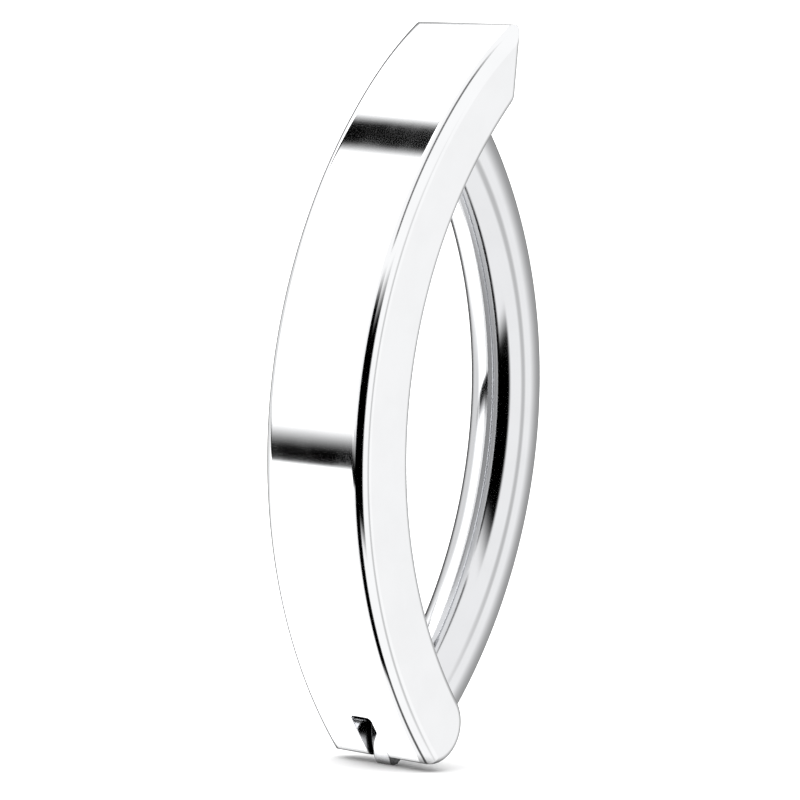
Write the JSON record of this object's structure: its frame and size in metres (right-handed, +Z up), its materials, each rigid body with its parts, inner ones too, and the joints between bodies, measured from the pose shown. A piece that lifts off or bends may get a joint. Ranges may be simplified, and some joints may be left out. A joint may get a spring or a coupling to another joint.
{
  "type": "hinged clicker ring",
  "caption": "Hinged clicker ring: a curved flat bar in front, a round wire that swings open on a cross pin behind it, and a click catch at the top.",
  "frame": {"origin": "centre of the closed ring's bounding box", "axes": "+X along the hinge pin, -Y out of the front of the flat bar, +Z up along the ring from the hinge to the catch"},
  "size_m": [0.0024, 0.0056, 0.0131],
  "materials": {
    "bar_steel": "polished",
    "wire_steel": "polished",
    "pin_steel": "polished"
  },
  "bodies": {
    "bar": {"front_bar": "bar_steel", "hinge_pin": "pin_steel"},
    "wire": {"back_wire": "wire_steel"}
  },
  "joints": [
    {"name": "clicker_hinge", "type": "hinge", "parent": "bar", "child": "wire", "pos_m": [0, -0.0003, -0.00586], "axis": [-1, 0, 0], "range_deg": [0, 100]}
  ]
}
